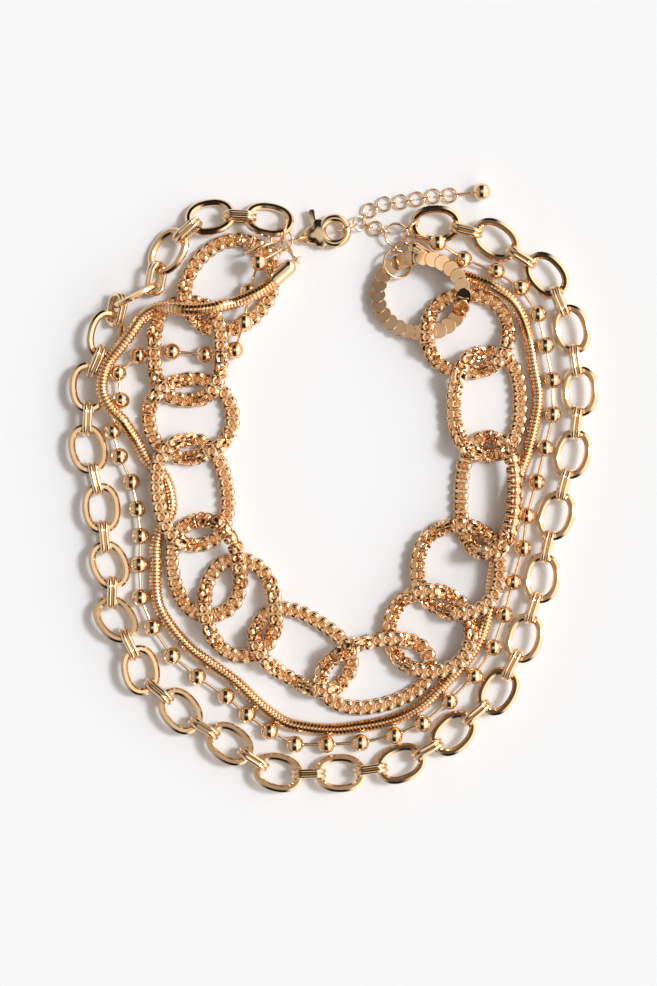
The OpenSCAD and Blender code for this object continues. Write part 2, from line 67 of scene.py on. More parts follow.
class Body(Enum):
    """The two bodies that a piece can ride on."""

    NECKLACE = "necklace"
    LEVER = "lever"


class Slot(Enum):
    """The record's material slots."""

    GOLD = "gold"
    PALE_GOLD = "pale_gold"
    ROSE_GOLD = "rose_gold"


class Sock:
    """A shader value that takes part in sums, so that 1 - mask adds a Math node."""

    def __init__(self, graph: "Graph", socket: bpy.types.NodeSocket) -> None:
        """Keeps the graph and the output socket.

        Args:
            graph: The graph that new nodes go into.
            socket: The output socket that this value comes from.
        """
        self.graph = graph
        self.socket = socket

    def _math(self, operation: str, left: "Sock | float", right: "Sock | float") -> "Sock":
        """Adds a Math node.

        Args:
            operation: The Math node's operation.
            left: The first value.
            right: The second value.

        Returns:
            The node's result.
        """
        return self.graph.node("ShaderNodeMath", {"operation": operation}, {0: left, 1: right})

    def __add__(self, other: "Sock | float") -> "Sock":
        """Returns self + other."""
        return self._math("ADD", self, other)

    __radd__ = __add__

    def __mul__(self, other: "Sock | float") -> "Sock":
        """Returns self * other."""
        return self._math("MULTIPLY", self, other)

    __rmul__ = __mul__

    def __sub__(self, other: "Sock | float") -> "Sock":
        """Returns self - other."""
        return self._math("SUBTRACT", self, other)

    def __rsub__(self, other: float) -> "Sock":
        """Returns other - self."""
        return self._math("SUBTRACT", other, self)

    def between(self, low: float, high: float) -> "Sock":
        """Returns 0 below low, 1 above high and a smooth step in between."""
        settings = {"interpolation_type": "SMOOTHSTEP"}
        return self.graph.node("ShaderNodeMapRange", settings, {0: self, 1: low, 2: high})


class Graph:
    """A node tree with one way to add any node to it."""

    def __init__(self, tree: bpy.types.NodeTree) -> None:
        """Keeps the tree.

        Args:
            tree: The tree of a material or of the world.
        """
        self.tree = tree

    def node(self, kind: str, settings: dict, inputs: dict, output: int | str = 0) -> Sock:
        """Adds a node, sets it up and links it.

        Args:
            kind: The node's type.
            settings: The node's own settings, which are set first.
            inputs: A value or a Sock for each input, by index or by name.
            output: The output to return.

        Returns:
            That output as a value for further sums.
        """
        made = self.tree.nodes.new(kind)
        for name, value in settings.items():
            setattr(made, name, value)
        for key, value in inputs.items():
            self.feed(made.inputs[key], value)
        return Sock(self, made.outputs[output])

    def feed(self, target: bpy.types.NodeSocket, value: "Sock | float | Sequence[float]") -> None:
        """Links a Sock to an input, or sets the input's own value."""
        if isinstance(value, Sock):
            self.tree.links.new(value.socket, target)
        else:
            target.default_value = value


@dataclass(frozen=True)
class Plating:
    """One plated finish: its colour, how far the colour drifts, and how sharply it reflects."""

    slot: Slot
    bright: tuple[float, float, float]
    deep: tuple[float, float, float]
    roughness: float
    wear: float = 0.06
    cloud_size: float = 6 * MM
    cloud_span: tuple[float, float] = (0.3, 0.7)
    grain_size: float = 0.35 * MM
    grain_depth: float = 0.012 * MM
    grain_strength: float = 0.35

    def make(self) -> bpy.types.Material:
        """Builds the material.

        Returns:
            The new material, named after its slot.
        """
        material = bpy.data.materials.new(f"{self.slot.value}_plating")
        material.use_nodes = True
        graph = Graph(material.node_tree)
        shader = material.node_tree.nodes["Principled BSDF"]
        place = graph.node("ShaderNodeTexCoord", {}, {}, "Object")
        cloud = graph.node("ShaderNodeTexNoise", {}, {"Vector": place, "Scale": 1 / self.cloud_size})
        grain = graph.node("ShaderNodeTexNoise", {}, {"Vector": place, "Scale": 1 / self.grain_size})
        # A Mix node has sockets for each kind of data: inputs 6 and 7 and output 2 are its colours
        tone = graph.node(
            "ShaderNodeMix",
            {"data_type": "RGBA"},
            {0: cloud.between(*self.cloud_span), 6: (*self.bright, 1), 7: (*self.deep, 1)},
            2,
        )
        graph.feed(shader.inputs["Base Color"], tone)
        graph.feed(shader.inputs["Roughness"], self.roughness + self.wear * cloud)
        relief = {"Strength": self.grain_strength, "Distance": self.grain_depth, "Height": grain}
        graph.feed(shader.inputs["Normal"], graph.node("ShaderNodeBump", {}, relief))
        shader.inputs["Metallic"].default_value = 1.0
        return material


PLATINGS = (
    Plating(Slot.GOLD, bright=(0.95, 0.70, 0.45), deep=(0.89, 0.60, 0.35), roughness=0.09),
    Plating(Slot.PALE_GOLD, bright=(0.96, 0.75, 0.51), deep=(0.92, 0.66, 0.42), roughness=0.08),
    Plating(Slot.ROSE_GOLD, bright=(0.95, 0.67, 0.42), deep=(0.87, 0.54, 0.29), roughness=0.11),
)


class Bench:
    """Hand tools: each one works on the piece that it is given and leaves object mode on."""

    @staticmethod
    def take(*pieces: bpy.types.Object) -> None:
        """Selects only these pieces, the first one active."""
        bpy.ops.object.select_all(action="DESELECT")
        for piece in pieces:
            piece.select_set(True)
        bpy.context.view_layer.objects.active = pieces[0]

    @staticmethod
    def cylinder(radius: float, depth: float, sides: int, place: Vector, turn: Vector) -> bpy.types.Object:
        """Adds a closed cylinder and returns it, selected alone.

        Args:
            radius: Its radius.
            depth: Its length.
            sides: The number of its sides.
            place: Its middle.
            turn: Its rotation.

        Returns:
            The new piece, with its place in its mesh.
        """
        bpy.ops.object.select_all(action="DESELECT")
        bpy.ops.mesh.primitive_cylinder_add(
            vertices=sides, radius=radius, depth=depth, location=place, rotation=turn
        )
        return Bench.settle(bpy.context.object)

    @staticmethod
    def block(size: Vector, place: Vector) -> bpy.types.Object:
        """Adds a block of a size at a place and returns it, with its place in its mesh."""
        bpy.ops.object.select_all(action="DESELECT")
        bpy.ops.mesh.primitive_cube_add(size=1, location=place, scale=size)
        return Bench.settle(bpy.context.object)

    @staticmethod
    def settle(piece: bpy.types.Object) -> bpy.types.Object:
        """Moves a piece's place, turn and scale into its mesh and returns it."""
        Bench.take(piece)
        bpy.ops.object.transform_apply(location=True, rotation=True, scale=True)
        return piece

    @staticmethod
    def pick(piece: bpy.types.Object, wanted: Callable[[Vector, Vector], bool]) -> None:
        """Enters edit mode with the faces selected whose middle and normal pass a test.

        Args:
            piece: The piece to work on.
            wanted: The test on a face's middle and normal.
        """
        Bench.take(piece)
        bpy.ops.object.mode_set(mode="EDIT")
        bpy.ops.mesh.select_mode(type="FACE")
        bpy.ops.mesh.select_all(action="DESELECT")
        bpy.ops.object.mode_set(mode="OBJECT")
        for face in piece.data.polygons:
            face.select = wanted(face.center, face.normal)
        bpy.ops.object.mode_set(mode="EDIT")

    @staticmethod
    def put_down() -> None:
        """Goes back to object mode."""
        bpy.ops.object.mode_set(mode="OBJECT")

    @staticmethod
    def join(*pieces: bpy.types.Object) -> bpy.types.Object:
        """Joins pieces into the first one and returns it."""
        Bench.take(*pieces)
        bpy.ops.object.join()
        return pieces[0]

    @staticmethod
    def copy(piece: bpy.types.Object, name: str) -> bpy.types.Object:
        """Returns a copy of a piece with its own mesh."""
        made = piece.copy()
        made.data = piece.data.copy()
        made.name = name
        bpy.context.collection.objects.link(made)
        return made

    @staticmethod
    def row_along(piece: bpy.types.Object, route: "Route", count: int, pitch: float, merge: bool) -> None:
        """Repeats a cell along X, bends the row onto a route and applies both.

        Args:
            piece: The cell, from X = 0 to X = pitch.
            route: The route that the row follows.
            count: How many cells there are.
            pitch: The distance from cell to cell.
            merge: Whether neighbouring cells share their end points.
        """
        Bench.take(piece)
        bpy.ops.object.modifier_add(type="ARRAY")
        row = piece.modifiers[-1]
        row.count = count
        row.use_relative_offset = False
        row.use_constant_offset = True
        row.constant_offset_displace = (pitch, 0, 0)
        row.use_merge_vertices = merge
        row.merge_threshold = WELD
        bpy.ops.object.modifier_apply(modifier=row.name)
        guide = route.draw(piece.name + "_guide")
        bpy.ops.object.modifier_add(type="CURVE")
        bend = piece.modifiers[-1]
        bend.object = guide
        bend.deform_axis = "POS_X"
        bpy.ops.object.modifier_apply(modifier=bend.name)
        bpy.data.objects.remove(guide)

    @staticmethod
    def smooth(piece: bpy.types.Object, degrees: float) -> None:
        """Shades a piece smooth up to an angle."""
        Bench.take(piece)
        bpy.ops.object.shade_smooth_by_angle(angle=math.radians(degrees))


@dataclass
class Route:
    """A path of points in metres, with the roll of the section at each, closed or open."""

    points: list[Vector]
    rolls: list[float]
    closed: bool

    def length(self) -> float:
        """Returns the length of the path."""
        ends = self.points[1:] + (self.points[:1] if self.closed else [])
        return sum((b - a).length for a, b in zip(self.points, ends))

    def draw(self, name: str) -> bpy.types.Object:
        """Draws the path as a guide curve.

        Args:
            name: The guide's name.

        Returns:
            The guide, which the caller removes.
        """
        line = bpy.data.curves.new(name, "CURVE")
        line.dimensions = "3D"
        line.twist_mode = "Z_UP"
        spline = line.splines.new("POLY")
        spline.points.add(len(self.points) - 1)
        for knot, place, roll in zip(spline.points, self.points, self.rolls):
            knot.co = (*place, 1)
            knot.tilt = roll
        spline.use_cyclic_u = self.closed
        guide = bpy.data.objects.new(name, line)
        bpy.context.collection.objects.link(guide)
        return guide


def smooth_step(x: float) -> float:
    """Returns a smooth step from 0 at x = 0 to 1 at x = 1."""
    x = min(1.0, max(0.0, x))
    return x * x * (3 - 2 * x)


def signed_power(x: float, power: float) -> float:
    """Returns x to a power, with the sign of x."""
    return math.copysign(abs(x) ** power, x)


def curve_through(before: Vector, start: Vector, end: Vector, after: Vector, t: float) -> Vector:
    """Returns a point of the smooth curve from start to end that four knots give.

    Args:
        before: The knot before start.
        start: Where the curve is at t = 0.
        end: Where the curve is at t = 1.
        after: The knot after end.
        t: How far along the curve the point is.

    Returns:
        The point of the Catmull-Rom curve.
    """
    slope = end - before
    square = 2 * before - 5 * start + 4 * end - after
    cube = 3 * start - before - 3 * end + after
    return 0.5 * (2 * start + slope * t + square * t * t + cube * t * t * t)


def apart(a: float, b: float) -> float:
    """Returns the angle between two headings in degrees."""
    return abs((a - b + 540) % 360 - 180)


def laid(x: float, y: float, z: float) -> Vector:
    """Returns a point of the tables as a place in metres."""
    return (Vector((x, y, z)) - LAYOUT_MIDDLE) * MM


@dataclass(frozen=True)
class RingRow:
    """The route of one flexible ring, in millimetres and degrees.

    The ring's middle is at x, y. Half its length is along, half its width is across, and turn is the
    heading of its length. At square 2 it is an ellipse, and above that its corners are fuller.
    Each climb is an angle, a height and a half spread. Each roll is an angle, how far the chain is
    rolled over there, and a half spread.
    """

    x: float
    y: float
    along: float
    across: float
    turn: float
    square: float
    climbs: tuple[tuple[float, float, float], ...]
    rolls: tuple[tuple[float, float, float], ...] = ()


# How far a chain climbs to lie over another ring, the snake chain, both, a bar, a cap or a wire
OVER_RING = 4.35
OVER_SNAKE = 4.45
OVER_BOTH = OVER_RING + OVER_SNAKE
OVER_BAR = 3.55
OVER_CAP = 5.45
OVER_WIRE = 1.275

RINGS = (
    RingRow(-33.5, 67.2, 16.1, 13.3, 48, 2.1, ((0, OVER_WIRE, 14), (153, OVER_RING, 14))),
    RingRow(-47.4, 45.2, 11.2, 16.3, 0, 2.8, ((24, OVER_RING, 22), (184, OVER_BAR, 8), (317, OVER_RING, 16))),
    RingRow(-46.5, 22.7, 14.0, 13.1, 15, 2.1, ((120, OVER_RING, 12), (285, OVER_RING, 12))),
    RingRow(-45.8, -2.0, 11.5, 17.6, 8, 2.3, ((172, OVER_SNAKE, 68),)),
    RingRow(-41.3, -27.2, 11.2, 16.0, 10, 2.3, ((26, OVER_RING, 32),), ((50, -60, 25),)),
    RingRow(-29.8, -40.5, 11.7, 16.2, 8, 2.2, ((183, OVER_RING, 12), (352, OVER_RING, 12))),
    RingRow(-8.9, -54.4, 17.2, 10.5, -32, 2.4, ((225, OVER_RING, 18), (314, OVER_RING, 12))),
    RingRow(15.4, -62.3, 18.5, 10.8, 14, 2.2, ((90, OVER_RING, 34),), ((140, -60, 30),)),
    RingRow(33.7, -48.2, 13.4, 13.5, 0, 2.1, ((300, OVER_SNAKE, 53), (98, OVER_RING, 16)), ((180, -50, 35),)),
    RingRow(43.1, -27.6, 13.5, 14.7, 0, 2.2, ((330, OVER_SNAKE, 66), (86, OVER_RING, 12)), ((180, -50, 35),)),
    RingRow(52.5, -2.8, 8.7, 19.2, -2, 2.4, ((288, OVER_BOTH, 22), (6, OVER_SNAKE, 60)), ((0, -50, 35),)),
    RingRow(52.65, 27.6, 10.9, 17.1, 0, 2.5, ((241, OVER_RING, 12), (138, OVER_RING, 16)), ((190, -50, 30),)),
    RingRow(45.9, 51.08, 13.6, 13.0, 0, 2.2, ((325, OVER_RING, 17), (181, OVER_RING, 12))),
    RingRow(30.2, 63.5, 14.2, 12.3, -8, 2.1, ((54, OVER_CAP, 50),), ((0, 180, 180),)),
)

# The route of the snake chain: x, y and how far it is off the floor
SNAKE = (
    (-16.2, 70.5, 4.9), (-20.8, 66.4, 5.1), (-25.5, 63.5, 5.8), (-31.5, 61, 6.2), (-36, 60, 7.8),
    (-40, 59, 8.4), (-46, 58.5, 9), (-51, 59, 7.9), (-56.5, 59.5, 4.35), (-62, 56.5, 3.6),
    (-66, 51, 3.9), (-70.2, 45.5, 3.9), (-73.7, 41, 3.9), (-75.4, 36, 3.9), (-75.4, 31, 3.9),
    (-72.9, 26, 3.9), (-68.5, 21.5, 3.5), (-65, 16, 0.5),
    (-62, 10.5, 0), (-59, 6.5, 0), (-55, 3, 0), (-53, -3, 0), (-53, -8.5, 0), (-56.5, -14.5, 0),
    (-58, -20, 0), (-58, -26, 0), (-58, -34.5, 0), (-56.5, -41, 0), (-52, -48, 0), (-46.5, -54, 0),
    (-40, -59, 0), (-31.5, -65, 0), (-23, -73, 0), (-15, -78.5, 0), (-6.5, -80.5, 0), (2, -81, 0),
    (10, -80.1, 0), (18.5, -78.6, 0), (26, -75.9, 0), (32.4, -71.7, 0), (38.3, -65.9, 0),
    (44.6, -59.2, 0), (50.2, -51.2, 0), (53.3, -41.1, 0), (54.3, -31, 0), (56, -21, 0), (59.5, -13, 0),
    (61.5, -3, 0), (64, 5.5, 0), (66.3, 12, 0), (68, 19, 0), (69.3, 25.5, 0), (69.5, 32, 0),
    (68, 40.5, 0), (66.5, 49, 0), (64, 56.5, 2.4), (60.3, 62.2, 3.6), (53.8, 66.5, 3.6), (47, 69.3, 1.5),
    (41, 71.6, 0.3), (36.5, 74.4, 0.55), (31.4, 77.5, 0.55),
)


@dataclass
class RingStrand:
    """The strand of chained rings. Each ring is a chain of studs, ribs and overlapping discs."""

    pitch: float = 3.4 * MM
    width: float = 5.4 * MM
    height: float = 4.2 * MM
    stud_r: float = 1.5 * MM
    stud_wall: float = 0.42 * MM
    stud_rise: float = 1.15 * MM
    stud_depth: float = 0.8 * MM
    stud_sides: int = 12
    bore_share: float = 0.78
    floor_share: float = 0.35
    disc_r: float = 2.65 * MM
    disc_t: float = 0.5 * MM
    disc_tip: float = 9.0
    disc_round: float = 0.14 * MM
    disc_sides: int = 16
    rib_length_share: float = 0.72
    rib_width_share: float = 0.86
    rib_round: float = 0.62 * MM
    bridge_width_share: float = 0.62
    bridge_height_share: float = 0.6
    clear: float = 0.03 * MM
    ceiling: float = 13.29 * MM
    steps: int = 144
    ramp: float = 24.0
    smooth_angle: float = 38

    def near(self, angle: float, middle: float, spread: float) -> float:
        """Returns 1 within a spread of an angle, falling to 0 over the ramp beside it."""
        return smooth_step((spread + self.ramp - apart(angle, middle)) / self.ramp)

    def route(self, row: RingRow) -> Route:
        """Works out the route of a ring's middle.

        Args:
            row: The ring's row of the table.

        Returns:
            The closed route.
        """
        points, rolls = [], []
        turn = math.radians(row.turn)
        for step in range(self.steps):
            angle = step * 360 / self.steps
            c, s = math.cos(math.radians(angle)), math.sin(math.radians(angle))
            u = row.along * signed_power(c, 2 / row.square)
            v = row.across * signed_power(s, 2 / row.square)
            climb = max(height * self.near(angle, at, spread) for at, height, spread in row.climbs)
            x = row.x + u * math.cos(turn) - v * math.sin(turn)
            y = row.y + u * math.sin(turn) + v * math.cos(turn)
            roll = math.radians(sum(over * self.near(angle, at, spread) for at, over, spread in row.rolls))
            half = self.disc_r * abs(math.sin(roll)) + self.height / 2 * abs(math.cos(roll))
            half = max(self.height / 2, half) + self.clear
            points.append(laid(x, y, min(half + climb * MM, self.ceiling - half) / MM))
            rolls.append(roll)
        return Route(points, rolls, True)

    def stud(self) -> bpy.types.Object:
        """Makes the hollow stud on a cell's upper face.

        Returns:
            The stud, a short tube with a floor.
        """
        top = self.height / 2
        middle = Vector((self.pitch / 2, 0, top - self.stud_rise / 2))
        stud = Bench.cylinder(self.stud_r, self.stud_rise, self.stud_sides, middle, Vector())
        Bench.pick(stud, lambda place, normal: normal.z > FACES_AXIS)
        bpy.ops.mesh.bevel(offset=self.stud_wall / 2, segments=1, affect="EDGES")
        Bench.put_down()
        Bench.pick(stud, lambda place, normal: normal.z > FACES_AXIS)
        bpy.ops.mesh.extrude_region_move(TRANSFORM_OT_translate={"value": (0, 0, -self.stud_wall / 2)})
        bpy.ops.transform.resize(value=(self.bore_share, self.bore_share, 1))
        bpy.ops.mesh.extrude_region_move(TRANSFORM_OT_translate={"value": (0, 0, -self.stud_depth)})
        bpy.ops.transform.resize(value=(self.floor_share, self.floor_share, 1))
        Bench.put_down()
        return stud

    def disc(self) -> bpy.types.Object:
        """Makes the flat disc on a cell's other face, tipped so that discs overlap like scales.

        Returns:
            The disc.
        """
        tip = math.radians(self.disc_tip)
        rise = self.disc_t / 2 + self.disc_r * math.sin(tip)
        middle = Vector((self.pitch / 2, 0, rise - self.height / 2))
        disc = Bench.cylinder(self.disc_r, self.disc_t, self.disc_sides, middle, Vector((0, tip, 0)))
        Bench.pick(disc, lambda place, normal: abs(normal.z) > FACES_AXIS)
        bpy.ops.mesh.bevel(offset=self.disc_round, segments=1, affect="EDGES")
        Bench.put_down()
        return disc

    def rib(self) -> bpy.types.Object:
        """Makes a cell's rib with the narrower bridge to the next rib.

        Returns:
            The rib and bridge as one piece.
        """
        floor = -self.height / 2 + self.disc_t
        rise = self.height / 2 - self.stud_rise - floor
        middle = Vector((self.pitch / 2, 0, floor + rise / 2))
        size = Vector((self.rib_length_share * self.pitch, self.rib_width_share * self.width, rise))
        rib = Bench.block(size, middle)
        Bench.pick(rib, lambda place, normal: True)
        bpy.ops.mesh.bevel(offset=self.rib_round, segments=2, affect="EDGES")
        Bench.put_down()
        size = Vector((self.pitch, self.bridge_width_share * self.width, self.bridge_height_share * rise))
        return Bench.join(rib, Bench.block(size, middle))

    def build(self, metal: bpy.types.Material) -> None:
        """Makes every ring from one cell.

        Args:
            metal: The finish of the rings.
        """
        cell = Bench.join(self.rib(), self.stud(), self.disc())
        cell.name = "ring_cell"
        for index, row in enumerate(RINGS, 1):
            route = self.route(row)
            length = route.length()
            count = round(length / self.pitch)
            ring = Bench.copy(cell, f"ring_{index:02d}_chain")
            ring.scale.x = length / count / self.pitch
            Bench.settle(ring)
            Bench.row_along(ring, route, count, length / count, False)
            Bench.smooth(ring, self.smooth_angle)
            dress(ring, Body.NECKLACE, metal, f"chain_ring_{index:02d}")
        bpy.data.objects.remove(cell)


@dataclass
class SnakeStrand:
    """The round snake chain: a tube of narrow ribs."""

    radius: float = 2.15 * MM
    groove: float = 0.76
    crown_share: float = 0.56
    clear: float = 0.02 * MM
    pitch: float = 1.2 * MM
    sides: int = 14
    steps: int = 6
    smooth_angle: float = 50

    def route(self) -> Route:
        """Runs a smooth curve through the table's points.

        Returns:
            The open route.
        """
        knots = [laid(x, y, self.radius / MM + z) for x, y, z in SNAKE]
        points = []
        for i in range(len(knots) - 1):
            before, start = knots[max(i - 1, 0)], knots[i]
            end, after = knots[i + 1], knots[min(i + 2, len(knots) - 1)]
            for step in range(self.steps):
                points.append(curve_through(before, start, end, after, step / self.steps))
        points.append(knots[-1])
        for point in points:
            point.z = max(point.z, self.radius + self.clear)
        return Route(points, [0.0] * len(points), False)

    def rib(self) -> bpy.types.Object:
        """Makes one rib, open at both ends and narrow there.

        Returns:
            The rib, from X = 0 to X = pitch.
        """
        crown = self.crown_share * self.pitch
        flank = (self.pitch - crown) / 2
        middle = Vector((self.pitch / 2, 0, 0))
        rib = Bench.cylinder(self.radius, crown, self.sides, middle, Vector((0, math.pi / 2, 0)))
        for side in (-1, 1):
            Bench.pick(rib, lambda place, normal, side=side: normal.x * side > FACES_AXIS)
            bpy.ops.mesh.extrude_region_move(TRANSFORM_OT_translate={"value": (side * flank, 0, 0)})
            bpy.ops.transform.resize(value=(1, self.groove, self.groove))
            bpy.ops.mesh.delete(type="ONLY_FACE")
            Bench.put_down()
        return rib

    def build(self, metal: bpy.types.Material) -> None:
        """Makes the chain.

        Args:
            metal: Its finish.
        """
        route = self.route()
        length = route.length()
        count = round(length / self.pitch)
        chain = self.rib()
        chain.name = "snake_ribs"
        chain.scale.x = length / count / self.pitch
        Bench.settle(chain)
        Bench.row_along(chain, route, count, length / count, True)
        Bench.take(chain)
        bpy.ops.object.mode_set(mode="EDIT")
        bpy.ops.mesh.select_mode(type="EDGE")
        bpy.ops.mesh.select_all(action="DESELECT")
        bpy.ops.mesh.select_non_manifold()
        bpy.ops.mesh.fill_holes(sides=self.sides)
        Bench.put_down()
        Bench.smooth(chain, self.smooth_angle)
        dress(chain, Body.NECKLACE, metal, "snake_chain")


# The big oval links: x, y, heading and lean
LINKS = (
    (-20.2, 88.9, 170, -27), (-39.8, 89.8, 190, -20), (-53.7, 78.4, 238, -25), (-64.3, 63.5, 207, 95),
    (-74.6, 50.66, 256, 24), (-80.3, 33, 272, 12), (-80.5, 12.5, 284, 10), (-76, -7.2, 275, 10),
    (-73.35, -26.2, 294, 12), (-71.2, -44.2, 309, 12), (-63, -61.2, 281, 12), (-49.7, -74.8, 310, 12),
    (-33.3, -85.7, 325, 12), (-17.2, -95.3, 345, 12), (3.5, -95.5, 0, 12), (23.7, -92.3, 22, 14),
    (41.2, -82.2, 44, 14), (56.2, -68.2, 60, 15), (64.8, -50.5, 73, 20), (70.65, -30.5, 82, 20),
    (75.35, -9.7, 72, 20), (80.9, 10.8, 75, 20), (83.4, 31.7, 90, 22), (80.5, 52.3, 105, 20),
    (72.3, 70.5, 132, 16), (55.2, 82.2, 145, 14), (35.35, 87.4, 180, 16),
)


@dataclass
class LinkStrand:
    """The outer strand's oval links, each a bevelled band bent into a long loop."""

    length: float = 16.8 * MM
    width: float = 12.8 * MM
    band: float = 2.4 * MM
    square: float = 2.25
    steps: int = 96
    thickness: float = 2.0 * MM
    rest_height: float = 3.7 * MM
    cells: int = 44
    section_sides: int = 8
    seam: float = 0.05 * MM
    smooth_angle: float = 30

    def loop(self) -> Route:
        """Works out the middle of the band, an oval a little fuller than an ellipse.

        Returns:
            The closed route, round the origin.
        """
        along = (self.length - self.band) / 2
        across = (self.width - self.band) / 2
        points = []
        for step in range(self.steps):
            angle = step * math.tau / self.steps
            x = along * signed_power(math.cos(angle), 2 / self.square)
            y = across * signed_power(math.sin(angle), 2 / self.square)
            points.append(Vector((x, y, 0)))
        return Route(points, [0.0] * len(points), True)

    def link(self) -> bpy.types.Object:
        """Makes one link.

        Returns:
            The link round the origin, its length along X.
        """
        route = self.loop()
        pitch = route.length() / self.cells
        half_turn = math.pi / self.section_sides
        middle = Vector((pitch / 2, 0, 0))
        link = Bench.cylinder(0.5, pitch, self.section_sides, middle, Vector((0, math.pi / 2, 0)))
        Bench.pick(link, lambda place, normal: abs(normal.x) > FACES_AXIS)
        bpy.ops.mesh.delete(type="ONLY_FACE")
        bpy.ops.mesh.select_all(action="SELECT")
        bpy.ops.transform.rotate(value=half_turn, orient_axis="X", center_override=(0, 0, 0))
        flat = math.cos(half_turn)
        section = (1, self.band / flat, self.thickness / flat)
        bpy.ops.transform.resize(value=section, center_override=(0, 0, 0))
        Bench.put_down()
        Bench.row_along(link, route, self.cells, pitch, True)
        Bench.take(link)
        bpy.ops.object.mode_set(mode="EDIT")
        bpy.ops.mesh.select_all(action="SELECT")
        bpy.ops.mesh.remove_doubles(threshold=self.seam)
        Bench.put_down()
        return link

    def build(self, metal: bpy.types.Material) -> None:
        """Makes one link, lays a copy at each row of the table and joins them.

        Args:
            metal: The finish of the links.
        """
        pattern = self.link()
        copies = []
        for index, (x, y, heading, lean) in enumerate(LINKS):
            tilt = math.radians(lean)
            rise = self.width / 2 * abs(math.sin(tilt)) + self.thickness / 2 * abs(math.cos(tilt))
            link = Bench.copy(pattern, f"link_{index + 1:02d}")
            link.rotation_euler = (-tilt, 0, math.radians(heading))
            link.location = laid(x, y, max(self.rest_height, rise) / MM)
            copies.append(Bench.settle(link))
        row = Bench.join(*copies)
        row.name = "oval_link_row"
        Bench.smooth(row, self.smooth_angle)
        dress(row, Body.NECKLACE, metal, "oval_links")
        bpy.data.objects.remove(pattern)


